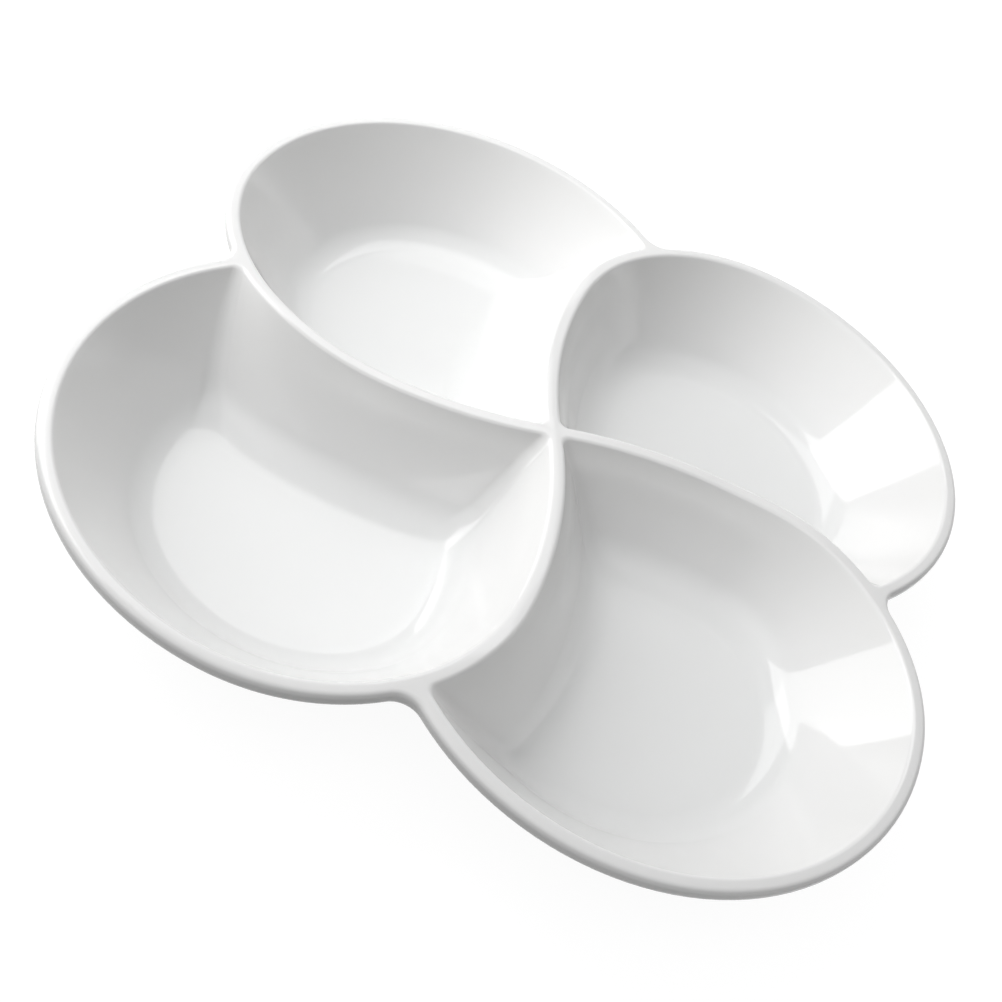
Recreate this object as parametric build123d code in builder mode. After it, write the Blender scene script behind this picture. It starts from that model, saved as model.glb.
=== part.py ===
"""Four-compartment serving dish in glazed porcelain.

Four equal leaf-shaped bowls stand in a pinwheel. The rim of each bowl runs round its
lobe and on, without a break, as the divider that it shares with the next bowl, and the
four dividers cross in the middle. Each bowl stands on its own bare foot ring.
Millimetres, +Z up, origin on the table under the crossing of the dividers.
"""

import os
from math import cos, hypot, radians, sin, sqrt, tan

from build123d import *

# Plan of one lobe: three tangent arcs, from the crossing out along the divider and round the rim
divider_radius = 139.0
divider_sweep = 29.0
shoulder_radius = 63.0
shoulder_sweep = 87.0
belly_radius = 78.0
junction_fillet = 7.0

# Section through the walls
rim_thickness = 4.0
rim_round = 1.6
lip_height = 4.0
lip_blend = 4.0
compartment_depth = 32.0
floor_thickness = 4.5
outer_wall_draft = 42.0
inner_wall_draft = 39.0
divider_draft = 30.0
wall_blend = 14.0
divider_blend = 16.0
outer_blend = 12.0
corner_radius = 3.0
corner_spread = 0.1
corner_share = 0.8

# The dividers stand a little lower than the rim
divider_drop = 2.0
divider_rise_start = 55.0
divider_rise_end = 92.0

# Foot rings
foot_height = 3.5
foot_width = 4.5
foot_setback = 5.0
foot_from_divider = 28.0
foot_corner_radius = 14.0
foot_edge_radius = 1.0

lobe_count = 4
quarter_turn = 360 / lobe_count
sides = ("back", "left", "front", "right")

half_rim = rim_thickness / 2
rim_height = foot_height + floor_thickness + compartment_depth
crest_height = rim_height - divider_drop
body_depth = compartment_depth + floor_thickness
cut_margin = 2.0
share_reach = 3.0


def direction(degrees):
    """Unit vector at an angle from +X."""
    return Vector(cos(radians(degrees)), sin(radians(degrees)))


def turned(point, quarters):
    """A plan point carried round the dish by quarter turns."""
    return point.rotate(Axis.Z, quarters * quarter_turn)


def circles_meet(centre_a, radius_a, centre_b, radius_b, near):
    """Where two circles cross, on the side of a given point."""
    apart = centre_b - centre_a
    along = (radius_a**2 - radius_b**2 + apart.length**2) / (2 * apart.length)
    across = sqrt(radius_a**2 - along**2)
    unit = apart.normalized()
    side = Vector(-unit.Y, unit.X)
    crossings = [centre_a + unit * along + side * across, centre_a + unit * along - side * across]
    return min(crossings, key=lambda crossing: (crossing - near).length)


def arc_about(centre, start, end):
    """The shorter arc from start to end about a centre."""
    radius = (start - centre).length
    middle = centre + ((start + end) * 0.5 - centre).normalized() * radius
    return ThreePointArc(start, middle, end)


# Centres and joins of the crest arcs of the back lobe, which leaves the crossing along -X
crossing = Vector(0, 0)
divider_end_angle = -90 - divider_sweep
shoulder_end_angle = divider_end_angle - shoulder_sweep
divider_centre = Vector(0, divider_radius)
divider_end = divider_centre + direction(divider_end_angle) * divider_radius
shoulder_centre = divider_centre + direction(divider_end_angle) * (divider_radius - shoulder_radius)
shoulder_end = shoulder_centre + direction(shoulder_end_angle) * shoulder_radius
belly_centre = shoulder_centre + direction(shoulder_end_angle) * (shoulder_radius - belly_radius)

# The rim of the next lobe starts on this lobe's shoulder
junction = circles_meet(
    shoulder_centre, shoulder_radius, turned(belly_centre, 1), belly_radius, (divider_end + shoulder_end) * 0.5
)

# The lobe before this one, whose divider closes this compartment
other_divider_centre = turned(divider_centre, -1)
other_divider_end = turned(divider_end, -1)
other_shoulder_centre = turned(shoulder_centre, -1)
other_junction = turned(junction, -1)


def lobe_outline(growth):
    """One lobe's crest outline, grown outwards, closed by a chord inside the lobe before it."""
    start = crossing - direction(90) * growth
    divider_join = divider_centre + direction(divider_end_angle) * (divider_radius + growth)
    shoulder_join = shoulder_centre + direction(shoulder_end_angle) * (shoulder_radius + growth)
    belly_end = belly_centre + (other_junction - belly_centre).normalized() * (belly_radius + growth)
    with BuildSketch() as lobe:
        with BuildLine():
            arc_about(divider_centre, start, divider_join)
            arc_about(shoulder_centre, divider_join, shoulder_join)
            arc_about(belly_centre, shoulder_join, belly_end)
            Polyline(belly_end, other_shoulder_centre, start)
        make_face()
    return lobe.sketch


def leaf_outline(wall_gap, divider_gap, radius):
    """One compartment's outline, set in from the crest of its rim and of its two dividers."""
    divider_r = divider_radius - divider_gap
    belly_r = belly_radius - wall_gap
    other_divider_r = divider_radius + divider_gap
    other_shoulder_r = shoulder_radius + divider_gap
    divider_join = divider_centre + direction(divider_end_angle) * divider_r
    belly_join = belly_centre + direction(shoulder_end_angle) * belly_r
    other_join = other_divider_centre + direction(divider_end_angle - quarter_turn) * other_divider_r
    inner_corner = circles_meet(divider_centre, divider_r, other_divider_centre, other_divider_r, crossing)
    outer_corner = circles_meet(
        belly_centre, belly_r, other_shoulder_centre, other_shoulder_r, other_junction
    )
    # The shoulder turns from the steep divider to the sloping wall, so it is an arc only at the rim
    shoulder_r = shoulder_radius - (divider_gap + wall_gap) / 2
    handle = 4 / 3 * tan(radians(shoulder_sweep / 4)) * shoulder_r
    divider_handle = divider_join + direction(divider_end_angle - 90) * handle
    belly_handle = belly_join - direction(shoulder_end_angle - 90) * handle
    with BuildSketch() as leaf:
        with BuildLine():
            arc_about(divider_centre, inner_corner, divider_join)
            Bezier(divider_join, divider_handle, belly_handle, belly_join)
            arc_about(belly_centre, belly_join, outer_corner)
            arc_about(other_shoulder_centre, outer_corner, other_join)
            arc_about(other_divider_centre, other_join, inner_corner)
        make_face()
        # The round of a corner ends before the other shoulder does
        corner_turn = (belly_centre - outer_corner).get_angle(outer_corner - other_shoulder_centre)
        corner_room = (outer_corner - other_join).length / tan(radians(corner_turn / 2))
        corners = [leaf.vertices().sort_by_distance(corner)[0] for corner in (inner_corner, outer_corner)]
        fillet(corners, min(radius, corner_share * corner_room))
    return leaf.sketch


def wall_run(depth, draft, blend, full_depth):
    """How far a wall has come in at a depth: a drafted face, then an arc into the flat."""
    lean = radians(draft)
    arc_depth = full_depth - blend
    if depth <= arc_depth + blend * sin(lean):
        return depth * tan(lean)
    arc_run = (blend + arc_depth * sin(lean)) / cos(lean)
    return arc_run - sqrt(blend**2 - (depth - arc_depth) ** 2)


# Sections through a compartment, closer together where the walls turn into the floor
section_count = 12
section_depths = [
    (compartment_depth + cut_margin) * sin(radians(90 * step / section_count)) - cut_margin
    for step in range(section_count + 1)
]

with BuildPart() as compartment:
    # Outside of the whole dish, drafted and turned under to the flat underside
    with BuildSketch(Plane.XY.offset(rim_height)) as dish_outline:
        for turn in range(lobe_count):
            add(lobe_outline(half_rim), rotation=turn * quarter_turn)
        junction_corners = dish_outline.vertices().sort_by(lambda v: hypot(v.X, v.Y))[:lobe_count]
        fillet(junction_corners, junction_fillet)
    extrude(amount=-lip_height)
    lip_underside = compartment.faces().sort_by(Axis.Z)[0]
    extrude(lip_underside, amount=body_depth - lip_height, taper=outer_wall_draft)
    outside_edges = compartment.edges().filter_by(lambda edge: edge.bounding_box().size.Z < cut_margin)
    underside_edges, lip_edges, rim_edges = outside_edges.group_by(Axis.Z)
    fillet(underside_edges, outer_blend)
    fillet(lip_edges, lip_blend)
    fillet(rim_edges, rim_round)

    # The share of one compartment, cut along the crests of its two dividers
    with BuildSketch(Plane.XY):
        with BuildLine():
            arc_about(divider_centre, crossing, divider_end)
            arc_about(shoulder_centre, divider_end, junction)
            Polyline(junction, junction * share_reach, other_junction * share_reach, other_junction)
            arc_about(other_shoulder_centre, other_junction, other_divider_end)
            arc_about(other_divider_centre, other_divider_end, crossing)
        make_face()
    extrude(amount=rim_height + cut_margin, mode=Mode.INTERSECT)

    # The dividers lie lower than the rim and rise to it before they reach it
    with BuildSketch(Plane.XZ):
        with BuildLine():
            Polyline(
                (divider_rise_end, rim_height),
                (divider_rise_end, rim_height + cut_margin),
                (0, rim_height + cut_margin),
                (0, crest_height),
                (divider_rise_start, crest_height),
            )
            Spline(
                (divider_rise_start, crest_height),
                (divider_rise_end, rim_height),
                tangents=((1, 0), (1, 0)),
            )
        make_face()
    revolve(axis=Axis.Z, mode=Mode.SUBTRACT)

    # The hollow, with sloping walls that turn into the floor
    for depth in section_depths:
        with BuildSketch(Plane.XY.offset(rim_height - depth)):
            wall_gap = half_rim + wall_run(depth, inner_wall_draft, wall_blend, compartment_depth)
            divider_gap = half_rim + wall_run(depth, divider_draft, divider_blend, compartment_depth)
            add(leaf_outline(wall_gap, divider_gap, corner_radius + corner_spread * max(depth, 0)))
    loft(mode=Mode.SUBTRACT)
    mouth_edges = compartment.edges(Select.LAST).filter_by(GeomType.BSPLINE)
    fillet(mouth_edges.filter_by(lambda edge: edge.bounding_box().min.Z > crest_height - rim_round), rim_round)

wall_depth = body_depth - lip_height
foot_from_rim = wall_run(wall_depth, outer_wall_draft, outer_blend, wall_depth) - half_rim + foot_setback
with BuildPart() as foot_ring:
    with BuildSketch(Plane.XY):
        add(leaf_outline(foot_from_rim, foot_from_divider, foot_corner_radius))
        add(
            leaf_outline(
                foot_from_rim + foot_width,
                foot_from_divider + foot_width,
                foot_corner_radius - foot_width,
            ),
            mode=Mode.SUBTRACT,
        )
    extrude(amount=foot_height)
    fillet(foot_ring.edges().group_by(Axis.Z)[0], foot_edge_radius)

os.makedirs("parts", exist_ok=True)
for turn, side in enumerate(sides):
    with BuildPart() as bowl:
        add(compartment.part, rotation=(0, 0, turn * quarter_turn))
    bowl.part.label = f"bowl_{side}"
    export_step(bowl.part, f"parts/bowl_{side}.step")

    with BuildPart() as foot:
        add(foot_ring.part, rotation=(0, 0, turn * quarter_turn))
    foot.part.label = f"foot_ring_{side}"
    export_step(foot.part, f"parts/foot_ring_{side}.step")
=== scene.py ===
"""Looks of a four-compartment porcelain serving dish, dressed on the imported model.

Each bowl is one dense mesh that follows the plan arcs and the wall profile of its solid, so that
the glaze reflects without facets. Plan points are complex numbers in millimetres, and a factor of
1j is a quarter turn of the dish. Angles are in degrees. What Blender gets is in metres.
"""

import cmath
import math

import bmesh
import bpy
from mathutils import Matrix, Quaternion, Vector


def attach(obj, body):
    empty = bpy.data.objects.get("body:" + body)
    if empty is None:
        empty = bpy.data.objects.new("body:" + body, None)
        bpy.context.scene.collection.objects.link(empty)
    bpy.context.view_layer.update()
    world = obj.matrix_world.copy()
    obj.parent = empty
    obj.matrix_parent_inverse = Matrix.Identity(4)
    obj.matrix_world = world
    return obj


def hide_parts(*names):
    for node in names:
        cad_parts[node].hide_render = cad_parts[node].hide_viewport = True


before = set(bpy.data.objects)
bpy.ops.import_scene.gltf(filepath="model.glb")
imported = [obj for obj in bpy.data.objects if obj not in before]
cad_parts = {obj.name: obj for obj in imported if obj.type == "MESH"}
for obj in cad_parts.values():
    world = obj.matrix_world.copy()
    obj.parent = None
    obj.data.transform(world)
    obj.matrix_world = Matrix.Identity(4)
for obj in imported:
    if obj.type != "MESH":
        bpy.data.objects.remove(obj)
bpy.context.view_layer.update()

MM = 0.001
WHITE = (1, 1, 1)
SIDES = ("back", "left", "front", "right")

# Plan of one lobe, from the crossing of the dividers out along its own divider and round its rim
DIVIDER_RADIUS = 139.0
DIVIDER_SWEEP = 29.0
SHOULDER_RADIUS = 63.0
SHOULDER_SWEEP = 87.0
BELLY_RADIUS = 78.0
JUNCTION_FILLET = 7.0

# Section through the walls
HALF_RIM = 2.0
RIM_ROUND = 1.6
LIP_HEIGHT = 4.0
LIP_BLEND = 4.0
COMPARTMENT_DEPTH = 32.0
BODY_DEPTH = 36.5
RIM_HEIGHT = 40.0
OUTER_DRAFT = 42.0
INNER_DRAFT = 39.0
DIVIDER_DRAFT = 30.0
WALL_BLEND = 14.0
DIVIDER_BLEND = 16.0
OUTER_BLEND = 12.0
CORNER_RADIUS = 3.0
CORNER_SPREAD = 0.1

# The dividers lie a little lower than the rim. They rise to it between two distances from the
# crossing, and the drop fades out between two depths down their sides
DIVIDER_DROP = 2.0
DIVIDER_RISE = (55.0, 92.0)
DROP_FADE = (1.6, 10.0)

# Points along each stretch of a ring, and rows down each stretch of the profile
DIVIDER_POINTS = 26
SHOULDER_POINTS = 16
NOTCH_POINTS = 12
FREE_SHOULDER_POINTS = 24
BELLY_POINTS = 44
CORNER_POINTS = 14
ROUND_ROWS = 10
LIP_ROWS = 6
WALL_ROWS = 8
BLEND_ROWS = 26
FLOOR_ROWS = 8

# An edge that turns by more than this stays sharp, and vertices this close, in metres, become one
SHARP_ANGLE = 50.0
MERGE_DISTANCE = 1e-7

# Camera that took the photograph, from the fitted rim. The focal length is in pixels
CAMERA_PLACE = (-131.12, -267.52, 303.52)
CAMERA_AZIMUTH = -25.132
CAMERA_ELEVATION = 45.503
CAMERA_ROLL = 26.65
CAMERA_NEAR = 10.0
FOCAL_PIXELS = 1320.36
PHOTO_PIXELS = 1002
SENSOR_WIDTH = 36.0

# Glaze: neutral white and glossy, with tints by depth, specks, a swell and an orange peel. A noise
# is a scale, for coordinates in metres, and a detail. Heights of bumps are in metres
CLOUD_STOPS = (0.3, 0.7)
GLAZE_DARK = (0.835, 0.835, 0.832)
GLAZE_LIGHT = (0.85, 0.85, 0.847)
GLAZE_CLOUDS = (14, 2)
EDGE_TINT = (0.99, 0.99, 0.985)
WALL_TINT = (0.995, 0.995, 0.995)
WALL_SHARE = 0.6
POOL_TINT = (0.985, 0.992, 0.992)
SPECK_CELLS = 70.0
SPECK_SIZE = 0.018
SPECK_FADE = 1.6
SPECK_TINT = (0.55, 0.53, 0.5)
GLAZE_INDEX = 1.55
GLAZE_ROUGHNESS = (0.06, 0.09)
GLOSS_NOISE = (40, 3)
SWELL_NOISE = (22, 0)
SWELL_HEIGHT = 0.00013
PEEL_NOISE = (420, 1)
PEEL_HEIGHT = 0.0000015

# Bare porcelain of the foot rings
BARE_DARK = (0.78, 0.765, 0.735)
BARE_LIGHT = (0.84, 0.83, 0.8)
BARE_CLOUDS = (60, 4)
BARE_ROUGHNESS = 0.85
GRAIN_NOISE = (1800, 2)
GRAIN_STOPS = (0.28, 0.42)
GRAIN_TINT = (0.82, 0.8, 0.77)
GRAIN_HEIGHT = 0.00008

# Table, and the elevations between which the backdrop behind it fades out
TABLE_SIZE = 4
TABLE_COLOUR = (0.18, 0.18, 0.18)
TABLE_GLOW = 0.92
BACKDROP_FADE = (6, 14)

# Light: a tall window at the back left, a ceiling panel behind the dish, and a dim room with soft
# lights, each an azimuth, an elevation and a glow. Places and sizes are in metres
WINDOW_PLACE = (-0.29, 0.28, 0.42)
WINDOW_FACING = (0.73, -0.68, 0)
WINDOW_SIZE = (0.385, 0.8)
WINDOW_GLOW = 2.75
CEILING_PLACE = (-0.075, 0.35, 0.45)
CEILING_FACING = (0, 0, -1)
CEILING_SIZE = (0.55, 0.3)
CEILING_GLOW = 1.6
ROOM_GLOW = 0.01
ROOM_FALL = 9.0
ROOM_LIGHTS = (
    (225, 45, 0.95),
    (180, 45, 0.92),
    (90, 45, 0.3),
    (45, 15, 0.75),
    (300, 70, 0.88),
)


def sine(degrees):
    """The sine of an angle."""
    return math.sin(math.radians(degrees))


def cosine(degrees):
    """The cosine of an angle."""
    return math.cos(math.radians(degrees))


def tangent(degrees):
    """The tangent of an angle."""
    return math.tan(math.radians(degrees))


def polar(radius, degrees):
    """The plan point at a radius and an angle."""
    return cmath.rect(radius, math.radians(degrees))


def way_to(azimuth, elevation):
    """The way to an azimuth and an elevation, as a unit vector."""
    flat = polar(cosine(elevation), azimuth)
    return Vector((flat.real, flat.imag, sine(elevation)))


def smooth_step(low, high, value):
    """0 below low, 1 above high, and an easy S between them."""
    share = min(max((value - low) / (high - low), 0.0), 1.0)
    return share * share * (3 - 2 * share)


def shares(count, start=0.0, end=1.0):
    """Evenly spread shares from start up to, but not at, end."""
    return [start + (end - start) * step / count for step in range(count)]


def steps(start, end, count):
    """Evenly spread values after start, up to and with end."""
    return [start + (end - start) * step / count for step in range(1, count + 1)]


def towards(centre, radius, point):
    """The plan point at a radius from a centre, on the way to another point."""
    return centre + (point - centre) * radius / abs(point - centre)


def turn_between(centre, start, end):
    """The shorter turn about a centre from one plan point to another, in radians."""
    return cmath.phase((end - centre) / (start - centre))


def arc(centre, start, end, fractions):
    """Points on the shorter arc about a centre, at shares of the way from start to end."""
    turn = turn_between(centre, start, end)
    return [centre + (start - centre) * cmath.rect(1, turn * share) for share in fractions]


def bezier(points, share):
    """The point at a share of the way along the curve that has these control points."""
    while len(points) > 1:
        points = [a + (b - a) * share for a, b in zip(points, points[1:])]
    return points[0]


def circles_meet(centre_a, radius_a, centre_b, radius_b, near):
    """Where two circles cross, on the side of a given point."""
    apart = centre_b - centre_a
    along = (radius_a**2 - radius_b**2 + abs(apart) ** 2) / (2 * abs(apart))
    across = math.sqrt(radius_a**2 - along**2)
    unit = apart / abs(apart)
    crossings = [centre_a + unit * complex(along, side) for side in (across, -across)]
    return min(crossings, key=lambda crossing: abs(crossing - near))


# Centres and joins of the back lobe's crest arcs, which leave the crossing along -X
divider_end_angle = -90 - DIVIDER_SWEEP
shoulder_end_angle = divider_end_angle - SHOULDER_SWEEP
divider_centre = 1j * DIVIDER_RADIUS
divider_end = divider_centre + polar(DIVIDER_RADIUS, divider_end_angle)
shoulder_centre = divider_centre + polar(DIVIDER_RADIUS - SHOULDER_RADIUS, divider_end_angle)
shoulder_end = shoulder_centre + polar(SHOULDER_RADIUS, shoulder_end_angle)
belly_centre = shoulder_centre + polar(SHOULDER_RADIUS - BELLY_RADIUS, shoulder_end_angle)

# Where the rim of the next lobe starts on this one, and the fillet in the notch outside it
next_belly_centre = belly_centre * 1j
junction = circles_meet(
    shoulder_centre,
    SHOULDER_RADIUS,
    next_belly_centre,
    BELLY_RADIUS,
    (divider_end + shoulder_end) / 2,
)
notch_radius = HALF_RIM + JUNCTION_FILLET
notch_centre = circles_meet(
    shoulder_centre,
    SHOULDER_RADIUS + notch_radius,
    next_belly_centre,
    BELLY_RADIUS + notch_radius,
    2 * junction,
)

# The same points of the lobe before this one, whose divider closes this compartment
other_divider_centre = divider_centre * -1j
other_divider_end = divider_end * -1j
other_shoulder_centre = shoulder_centre * -1j
other_junction = junction * -1j
other_notch_centre = notch_centre * -1j

# Shares of the way along the shoulder and the belly at which every ring has its points
shoulder_turn = turn_between(shoulder_centre, divider_end, shoulder_end)
junction_share = turn_between(shoulder_centre, divider_end, junction) / shoulder_turn
notch_share = turn_between(shoulder_centre, divider_end, notch_centre) / shoulder_turn
belly_turn = turn_between(belly_centre, shoulder_end, other_junction)
belly_notch_share = turn_between(belly_centre, shoulder_end, other_notch_centre) / belly_turn
shoulder_shares = shares(SHOULDER_POINTS, 0, junction_share)
shoulder_shares += shares(NOTCH_POINTS, junction_share, notch_share)
shoulder_shares += shares(FREE_SHOULDER_POINTS, notch_share, 1)
belly_shares = shares(BELLY_POINTS, 0, belly_notch_share)
belly_shares += shares(NOTCH_POINTS, belly_notch_share, 1)


def crest_ring():
    """The crest all round one compartment: its own divider and rim, then the divider before it."""
    ring = arc(divider_centre, 0j, divider_end, shares(DIVIDER_POINTS))
    ring += arc(shoulder_centre, divider_end, shoulder_end, shoulder_shares)
    ring += arc(belly_centre, shoulder_end, other_junction, belly_shares)
    ring += [other_junction] * CORNER_POINTS
    own_side = ring[1 : DIVIDER_POINTS + SHOULDER_POINTS] + [junction]
    ring += [point * -1j for point in reversed(own_side)]
    return ring + [0j] * CORNER_POINTS


def leaf_ring(wall_gap, divider_gap, radius):
    """A ring set in from the crest of the rim and of the two dividers, with round corners."""
    divider_r = DIVIDER_RADIUS - divider_gap
    belly_r = BELLY_RADIUS - wall_gap
    other_divider_r = DIVIDER_RADIUS + divider_gap
    other_shoulder_r = SHOULDER_RADIUS + divider_gap
    inner = circles_meet(
        divider_centre,
        divider_r - radius,
        other_divider_centre,
        other_divider_r + radius,
        0,
    )
    outer = circles_meet(
        belly_centre,
        belly_r - radius,
        other_shoulder_centre,
        other_shoulder_r + radius,
        other_junction,
    )
    inner_end = towards(divider_centre, divider_r, inner)
    divider_join = towards(divider_centre, divider_r, divider_end)
    belly_join = towards(belly_centre, belly_r, shoulder_end)
    outer_start = towards(belly_centre, belly_r, outer)
    outer_end = towards(other_shoulder_centre, other_shoulder_r, outer)
    other_join = towards(other_divider_centre, other_divider_r, other_divider_end)
    inner_start = towards(other_divider_centre, other_divider_r, inner)

    # The shoulder turns from the steep divider to the sloping wall, so it is an arc only at the rim
    shoulder_r = SHOULDER_RADIUS - (divider_gap + wall_gap) / 2
    handle = 4 / 3 * tangent(SHOULDER_SWEEP / 4) * shoulder_r
    shoulder = (
        divider_join,
        divider_join + polar(handle, divider_end_angle - 90),
        belly_join - polar(handle, shoulder_end_angle - 90),
        belly_join,
    )

    ring = arc(divider_centre, inner_end, divider_join, shares(DIVIDER_POINTS))
    ring += [bezier(shoulder, share) for share in shoulder_shares]
    ring += arc(belly_centre, belly_join, outer_start, belly_shares)
    ring += arc(outer, outer_start, outer_end, shares(CORNER_POINTS))
    ring += arc(other_shoulder_centre, outer_end, other_join, shares(SHOULDER_POINTS))
    ring += arc(other_divider_centre, other_join, inner_start, shares(DIVIDER_POINTS))
    return ring + arc(inner, inner_start, inner_end, shares(CORNER_POINTS))


def wall_run(depth, draft, blend):
    """How far a wall has come in at a depth: a drafted face, then an arc into the floor."""
    arc_depth = COMPARTMENT_DEPTH - blend
    if depth <= arc_depth + blend * sine(draft):
        return depth * tangent(draft)
    arc_run = (blend + arc_depth * sine(draft)) / cosine(draft)
    return arc_run - math.sqrt(max(blend**2 - (depth - arc_depth) ** 2, 0))


def gap_at(depth, draft, blend):
    """How far the inside of a wall is from the crest at a depth, with its rounded upper edge."""
    inset = RIM_ROUND * tangent(45 - draft / 2)
    if depth < inset * cosine(draft):
        return HALF_RIM - inset + math.sqrt(RIM_ROUND**2 - (RIM_ROUND - depth) ** 2)
    return HALF_RIM + wall_run(depth, draft, blend)


def inner_row(depth):
    """The ring of the compartment's inside at a depth."""
    wall_gap = gap_at(depth, INNER_DRAFT, WALL_BLEND)
    divider_gap = gap_at(depth, DIVIDER_DRAFT, DIVIDER_BLEND)
    return leaf_ring(wall_gap, divider_gap, CORNER_RADIUS + CORNER_SPREAD * depth)


def joint_point(growth):
    """Where the outside, grown by an amount from the crest, meets the joint with the next bowl."""
    radius = notch_radius - growth
    outwards = junction / abs(junction)
    centre = notch_centre * outwards.conjugate()
    along = centre.real - math.sqrt(radius**2 - centre.imag**2)
    if along >= abs(junction):
        return outwards * along
    return circles_meet(notch_centre, radius, shoulder_centre, SHOULDER_RADIUS, junction)


def outer_row(growth):
    """The outside of one lobe from joint to joint, grown by an amount from the crest."""
    joint = joint_point(growth)
    shoulder_start = towards(shoulder_centre, SHOULDER_RADIUS + growth, notch_centre)
    belly_start = towards(shoulder_centre, SHOULDER_RADIUS + growth, shoulder_end)
    belly_stop = towards(belly_centre, BELLY_RADIUS + growth, other_notch_centre)
    ring = arc(notch_centre, joint, shoulder_start, shares(NOTCH_POINTS))
    ring += arc(shoulder_centre, shoulder_start, belly_start, shares(FREE_SHOULDER_POINTS))
    ring += arc(belly_centre, belly_start, belly_stop, shares(BELLY_POINTS))
    ring += arc(other_notch_centre, belly_stop, joint * -1j, shares(NOTCH_POINTS))
    return ring + [joint * -1j]


def height(point, depth):
    """Height of a point at a depth under the rim, on the dividers lower than at the rim."""
    drop = DIVIDER_DROP * (1 - smooth_step(*DIVIDER_RISE, abs(point)))
    return RIM_HEIGHT - depth - drop * (1 - smooth_step(*DROP_FADE, depth))


# Depths of the rows down the inside: round the edge, down the wall, and round into the floor, from
# where the sides of the dividers start to turn
blend_top = COMPARTMENT_DEPTH - DIVIDER_BLEND
blend_start = blend_top + DIVIDER_BLEND * sine(DIVIDER_DRAFT)
inner_depths = [0.0]
for turn in steps(0, 90 - DIVIDER_DRAFT, ROUND_ROWS):
    inner_depths.append(RIM_ROUND * (1 - cosine(turn)))
inner_depths += steps(inner_depths[-1], blend_start, WALL_ROWS)
for turn in steps(DIVIDER_DRAFT, 90, BLEND_ROWS):
    inner_depths.append(blend_top + DIVIDER_BLEND * sine(turn))


def profile_arc(growth, depth, radius, start, end, rows):
    """Pairs of growth and depth on an arc about a centre, after one angle and up to another."""
    points = [complex(growth, depth) + polar(radius, turn) for turn in steps(start, end, rows)]
    return [(point.real, point.imag) for point in points]


# Growth and depth of the rows down the outside: round the edge, down the lip, along the wall and
# under the dish
outer_profile = [(HALF_RIM - RIM_ROUND, 0.0)]
outer_profile += profile_arc(HALF_RIM - RIM_ROUND, RIM_ROUND, RIM_ROUND, -90, 0, ROUND_ROWS)
widest_row = len(outer_profile)
lip_end = LIP_HEIGHT - LIP_BLEND * tangent(OUTER_DRAFT / 2)
outer_profile.append((HALF_RIM, lip_end))
outer_profile += profile_arc(HALF_RIM - LIP_BLEND, lip_end, LIP_BLEND, 0, OUTER_DRAFT, LIP_ROWS)
under_top = BODY_DEPTH - OUTER_BLEND
under_start = under_top + OUTER_BLEND * sine(OUTER_DRAFT)
for depth in steps(outer_profile[-1][1], under_start, WALL_ROWS):
    outer_profile.append((HALF_RIM - (depth - LIP_HEIGHT) * tangent(OUTER_DRAFT), depth))
under_growth = outer_profile[-1][0] - OUTER_BLEND * cosine(OUTER_DRAFT)
outer_profile += profile_arc(under_growth, under_top, OUTER_BLEND, OUTER_DRAFT, 90, BLEND_ROWS)


def plan_reach(vert):
    """How far out from the crossing of the dividers a vertex is."""
    return math.hypot(vert.co.x, vert.co.y)


def close_joint(bm, upper, lower):
    """Fills a joint between two chains of vertices that run outwards and end in the same one."""
    while len(upper) > 1 or len(lower) > 1:
        if len(lower) == 1 or (len(upper) > 1 and plan_reach(upper[1]) <= plan_reach(lower[1])):
            corners = (upper[0], upper[1], lower[0])
            upper = upper[1:]
        else:
            corners = (upper[0], lower[1], lower[0])
            lower = lower[1:]
        if len(set(corners)) == 3:
            bm.faces.new(corners)


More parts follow.
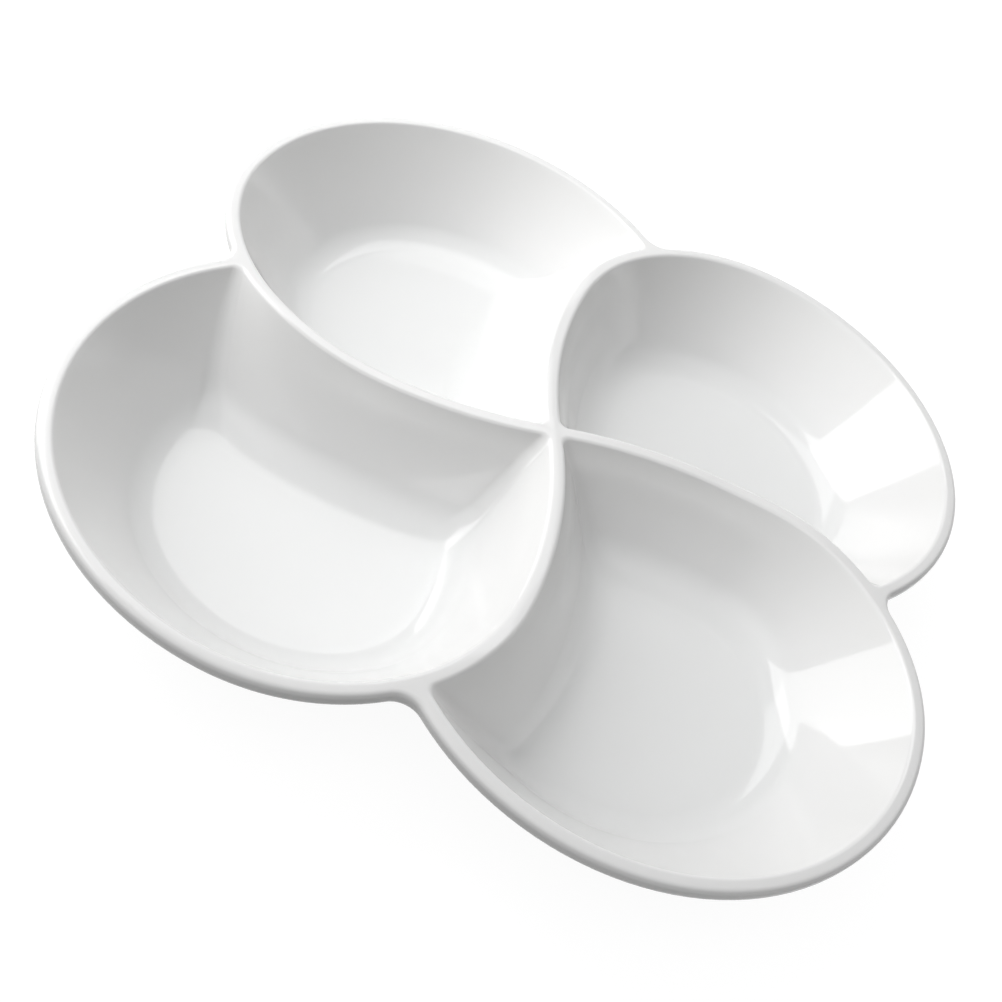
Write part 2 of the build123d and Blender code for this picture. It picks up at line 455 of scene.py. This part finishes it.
def bowl_mesh(name, quarter):
    """One closed bowl: compartment, rim, outside, underside and the joints with its neighbours."""
    bm = bmesh.new()
    glaze_depth = bm.verts.layers.float.new("glaze_depth")

    def row(points, depth):
        """Vertices at plan points, all at a depth under the rim."""
        made = []
        for point in points:
            turned = point * 1j**quarter * MM
            vert = bm.verts.new((turned.real, turned.imag, height(point, depth) * MM))
            vert[glaze_depth] = depth
            made.append(vert)
        return made

    def skin(rows, closed):
        """Faces between rows of as many vertices each."""
        for upper, lower in zip(rows, rows[1:]):
            for a in range(len(upper) if closed else len(upper) - 1):
                b = (a + 1) % len(upper)
                bm.faces.new((upper[a], upper[b], lower[b], lower[a]))

    # Crest, compartment and floor
    crest_plan = crest_ring()
    inside = [row(crest_plan, 0)] + [row(inner_row(depth), depth) for depth in inner_depths]
    floor_edge = inner_row(COMPARTMENT_DEPTH)
    middle = sum(floor_edge) / len(floor_edge)
    for share in shares(FLOOR_ROWS)[1:]:
        floor_plan = [point + (middle - point) * share for point in floor_edge]
        inside.append(row(floor_plan, COMPARTMENT_DEPTH))
    skin(inside, True)
    centre = row([middle], COMPARTMENT_DEPTH)[0]
    for a, b in zip(inside[-1], inside[-1][1:] + inside[-1][:1]):
        bm.faces.new((a, b, centre))

    # Outside, from the crest over the rim and down
    own_end = DIVIDER_POINTS + SHOULDER_POINTS
    rim_end = own_end + NOTCH_POINTS + FREE_SHOULDER_POINTS + BELLY_POINTS + NOTCH_POINTS
    outside = [inside[0][own_end : rim_end + 1]]
    outside += [row(outer_row(growth), depth) for growth, depth in outer_profile]
    skin(outside, False)

    # Underside and joints
    joint_reach = abs(joint_point(outer_profile[-1][0]))
    base_plan = [point for point in crest_plan[:own_end] if abs(point) < joint_reach]
    own_base = row(base_plan, BODY_DEPTH)
    other_base = own_base[:1] + row([point * -1j for point in base_plan[1:]], BODY_DEPTH)
    bm.faces.new(own_base + outside[-1] + other_base[:0:-1])
    own_crest = inside[0][: own_end + 1]
    other_start = rim_end + CORNER_POINTS
    other_crest = inside[0][other_start : other_start + own_end + 1][::-1]
    for crest, base, column in ((own_crest, own_base, 0), (other_crest, other_base, -1)):
        over = [upper[column] for upper in outside[1 : widest_row + 1]]
        under = [upper[column] for upper in outside[: widest_row - 1 : -1]]
        close_joint(bm, crest + over, base + under)

    bmesh.ops.remove_doubles(bm, verts=bm.verts, dist=MERGE_DISTANCE)
    bmesh.ops.recalc_face_normals(bm, faces=bm.faces)
    for face in bm.faces:
        face.smooth = True
    for edge in bm.edges:
        edge.smooth = edge.calc_face_angle() < math.radians(SHARP_ANGLE)
    mesh = bpy.data.meshes.new(name)
    bm.to_mesh(mesh)
    bm.free()
    return mesh


def new_material(name):
    """A node material, its node tree and the inputs of its shader."""
    material = bpy.data.materials.new(name)
    material.use_nodes = True
    tree = material.node_tree
    return material, tree, tree.nodes["Principled BSDF"].inputs


def maths(tree, operation, first, second=None):
    """A maths node on an output and, where it takes two, a number or another output."""
    node = tree.nodes.new("ShaderNodeMath")
    node.operation = operation
    tree.links.new(first, node.inputs[0])
    if isinstance(second, (int, float)):
        node.inputs[1].default_value = second
    elif second is not None:
        tree.links.new(second, node.inputs[1])
    return node.outputs["Value"]


def map_range(tree, value, given, result):
    """A value carried over from one range to another."""
    node = tree.nodes.new("ShaderNodeMapRange")
    node.inputs["From Min"].default_value, node.inputs["From Max"].default_value = given
    node.inputs["To Min"].default_value, node.inputs["To Max"].default_value = result
    tree.links.new(value, node.inputs["Value"])
    return node.outputs["Result"]


def noise(tree, scale, detail):
    """Noise over the object's own coordinates, in metres."""
    place = tree.nodes.new("ShaderNodeTexCoord")
    texture = tree.nodes.new("ShaderNodeTexNoise")
    texture.inputs["Scale"].default_value = scale
    texture.inputs["Detail"].default_value = detail
    tree.links.new(place.outputs["Object"], texture.inputs["Vector"])
    return texture.outputs["Fac"]


def ramp(tree, value, positions, colours):
    """A colour ramp with a colour at each position."""
    node = tree.nodes.new("ShaderNodeValToRGB")
    while len(node.color_ramp.elements) < len(positions):
        node.color_ramp.elements.new(1.0)
    for element, position, colour in zip(node.color_ramp.elements, positions, colours):
        element.position = position
        element.color = (*colour, 1)
    tree.links.new(value, node.inputs["Fac"])
    return node.outputs["Color"]


def tint(tree, colour, value, positions, colours):
    """A colour multiplied by a ramp."""
    node = tree.nodes.new("ShaderNodeMix")
    node.data_type = "RGBA"
    node.blend_type = "MULTIPLY"
    node.inputs["Factor"].default_value = 1
    tree.links.new(colour, node.inputs["A"])
    tree.links.new(ramp(tree, value, positions, colours), node.inputs["B"])
    return node.outputs["Result"]


def bump(tree, relief, distance, below=None):
    """A bump of a height in metres, on top of another one."""
    node = tree.nodes.new("ShaderNodeBump")
    node.inputs["Strength"].default_value = 1
    node.inputs["Distance"].default_value = distance
    tree.links.new(relief, node.inputs["Height"])
    if below is not None:
        tree.links.new(below, node.inputs["Normal"])
    return node.outputs["Normal"]


def glaze_material():
    """Glossy white glaze over porcelain, tinted by how deep it lies in the dish."""
    material, tree, shader = new_material("white_glaze")
    shader["IOR"].default_value = GLAZE_INDEX

    # Faint clouds, a touch warmer under the crest and cooler where the glaze pools on the floor
    colour = ramp(tree, noise(tree, *GLAZE_CLOUDS), CLOUD_STOPS, (GLAZE_DARK, GLAZE_LIGHT))
    depth = tree.nodes.new("ShaderNodeAttribute")
    depth.attribute_name = "glaze_depth"
    depth_share = map_range(tree, depth.outputs["Fac"], (0, BODY_DEPTH), (0, 1))
    depth_stops = (0, RIM_ROUND / BODY_DEPTH, WALL_SHARE, COMPARTMENT_DEPTH / BODY_DEPTH)
    depth_tints = (WHITE, EDGE_TINT, WALL_TINT, POOL_TINT)
    colour = tint(tree, colour, depth_share, depth_stops, depth_tints)

    # Sparse specks in the glaze, in the few cells whose random red is near 0
    place = tree.nodes.new("ShaderNodeTexCoord")
    cells = tree.nodes.new("ShaderNodeTexVoronoi")
    cells.inputs["Scale"].default_value = SPECK_CELLS
    tree.links.new(place.outputs["Object"], cells.inputs["Vector"])
    rare = tree.nodes.new("ShaderNodeSeparateColor")
    tree.links.new(cells.outputs["Color"], rare.inputs["Color"])
    spread = maths(tree, "ADD", cells.outputs["Distance"], rare.outputs["Red"])
    speck_stops = (SPECK_SIZE, SPECK_SIZE * SPECK_FADE)
    colour = tint(tree, colour, spread, speck_stops, (SPECK_TINT, WHITE))
    tree.links.new(colour, shader["Base Color"])

    # Gloss that varies a little, over a slow swell and a fine orange peel
    gloss = map_range(tree, noise(tree, *GLOSS_NOISE), (0, 1), GLAZE_ROUGHNESS)
    tree.links.new(gloss, shader["Roughness"])
    swell = bump(tree, noise(tree, *SWELL_NOISE), SWELL_HEIGHT)
    peel = bump(tree, noise(tree, *PEEL_NOISE), PEEL_HEIGHT, swell)
    tree.links.new(peel, shader["Normal"])
    return material


def bare_material():
    """Unglazed porcelain, ground flat: matte, a little warm, with a fine grain."""
    material, tree, shader = new_material("bare_porcelain")
    shader["Roughness"].default_value = BARE_ROUGHNESS
    colour = ramp(tree, noise(tree, *BARE_CLOUDS), CLOUD_STOPS, (BARE_DARK, BARE_LIGHT))
    grain = noise(tree, *GRAIN_NOISE)
    colour = tint(tree, colour, grain, GRAIN_STOPS, (GRAIN_TINT, WHITE))
    tree.links.new(colour, shader["Base Color"])
    tree.links.new(bump(tree, grain, GRAIN_HEIGHT), shader["Normal"])
    return material


def seen_rays(tree):
    """1 for the rays of the camera, of reflections and of transmission, and 0 for all others."""
    rays = tree.nodes.new("ShaderNodeLightPath")
    seen = rays.outputs["Is Camera Ray"]
    for other in ("Is Glossy Ray", "Is Transmission Ray"):
        seen = maths(tree, "MAXIMUM", seen, rays.outputs[other])
    return seen


def table_material():
    """A table that the camera and mirror rays see white, with the dish's shadow left on it."""
    material, tree, shader = new_material("white_table")
    shader["Base Color"].default_value = (*TABLE_COLOUR, 1)
    shader["Roughness"].default_value = 1
    shader["Specular IOR Level"].default_value = 0
    shader["Emission Color"].default_value = (*WHITE, 1)
    glow = maths(tree, "MULTIPLY", seen_rays(tree), TABLE_GLOW)
    tree.links.new(glow, shader["Emission Strength"])
    return material


def add_object(name, data):
    """A new object in the scene."""
    made = bpy.data.objects.new(name, data)
    bpy.context.collection.objects.link(made)
    return made


def aim(thing, place, facing, roll=0):
    """Puts a camera or a lamp in its place, facing a way and rolled about it."""
    thing.location = place
    thing.rotation_mode = "QUATERNION"
    rolled = Quaternion((0, 0, 1), math.radians(roll))
    thing.rotation_quaternion = Vector(facing).to_track_quat("-Z", "Y") @ rolled


glaze = glaze_material()
for quarter, side in enumerate(SIDES):
    piece = add_object(f"glazed_bowl_{side}", bowl_mesh(f"glazed_bowl_{side}", quarter))
    piece.data.materials.append(glaze)
    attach(piece, "root")
    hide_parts(f"bowl_{side}")

bare = bare_material()
for side in SIDES:
    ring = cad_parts[f"foot_ring_{side}"]
    for slot in ring.material_slots:
        slot.link = "OBJECT"
        slot.material = bare

# Table
bm = bmesh.new()
bmesh.ops.create_grid(bm, x_segments=1, y_segments=1, size=TABLE_SIZE)
table_mesh = bpy.data.meshes.new("table")
bm.to_mesh(table_mesh)
bm.free()
table_mesh.materials.append(table_material())
table = add_object("table", table_mesh)

# Camera
camera_data = bpy.data.cameras.new("camera")
camera_data.sensor_width = SENSOR_WIDTH
camera_data.lens = FOCAL_PIXELS / PHOTO_PIXELS * SENSOR_WIDTH
camera_data.clip_start = CAMERA_NEAR * MM
camera = add_object("camera", camera_data)
camera_facing = way_to(90 + CAMERA_AZIMUTH, -CAMERA_ELEVATION)
aim(camera, Vector(CAMERA_PLACE) * MM, camera_facing, CAMERA_ROLL)
bpy.context.scene.camera = camera

# Room: soft lights that fall off with the angle from their middle, on a dim ground
world = bpy.data.worlds.new("room")
bpy.context.scene.world = world
world.use_nodes = True
room = world.node_tree
way = room.nodes.new("ShaderNodeTexCoord").outputs["Generated"]
room_level = ROOM_GLOW
for azimuth, elevation, glow in ROOM_LIGHTS:
    near_light = room.nodes.new("ShaderNodeVectorMath")
    near_light.operation = "DOT_PRODUCT"
    near_light.inputs[1].default_value = way_to(azimuth, elevation)
    room.links.new(way, near_light.inputs[0])
    away = maths(room, "SUBTRACT", near_light.outputs["Value"], 1)
    spread = maths(room, "POWER", maths(room, "EXPONENT", away), ROOM_FALL)
    room_level = maths(room, "ADD", maths(room, "MULTIPLY", spread, glow), room_level)

# A white backdrop low over the table, for views and reflections alone
rise = room.nodes.new("ShaderNodeSeparateXYZ")
room.links.new(way, rise.inputs["Vector"])
fade_heights = [sine(elevation) for elevation in BACKDROP_FADE]
fade = map_range(room, rise.outputs["Z"], fade_heights, (1, 0))
backdrop = maths(room, "MULTIPLY", fade, seen_rays(room))
room_level = maths(room, "MAXIMUM", room_level, backdrop)
background = room.nodes["Background"].inputs
background["Color"].default_value = (*WHITE, 1)
room.links.new(room_level, background["Strength"])
bpy.context.scene.view_settings.view_transform = "Standard"


def lamp(name, place, facing, size, glow):
    """A rectangular lamp of a given brightness."""
    data = bpy.data.lights.new(name, "AREA")
    data.shape = "RECTANGLE"
    data.size, data.size_y = size
    data.energy = math.pi * size[0] * size[1] * glow
    aim(add_object(name, data), place, facing)


lamp("window", WINDOW_PLACE, WINDOW_FACING, WINDOW_SIZE, WINDOW_GLOW)
lamp("ceiling", CEILING_PLACE, CEILING_FACING, CEILING_SIZE, CEILING_GLOW)
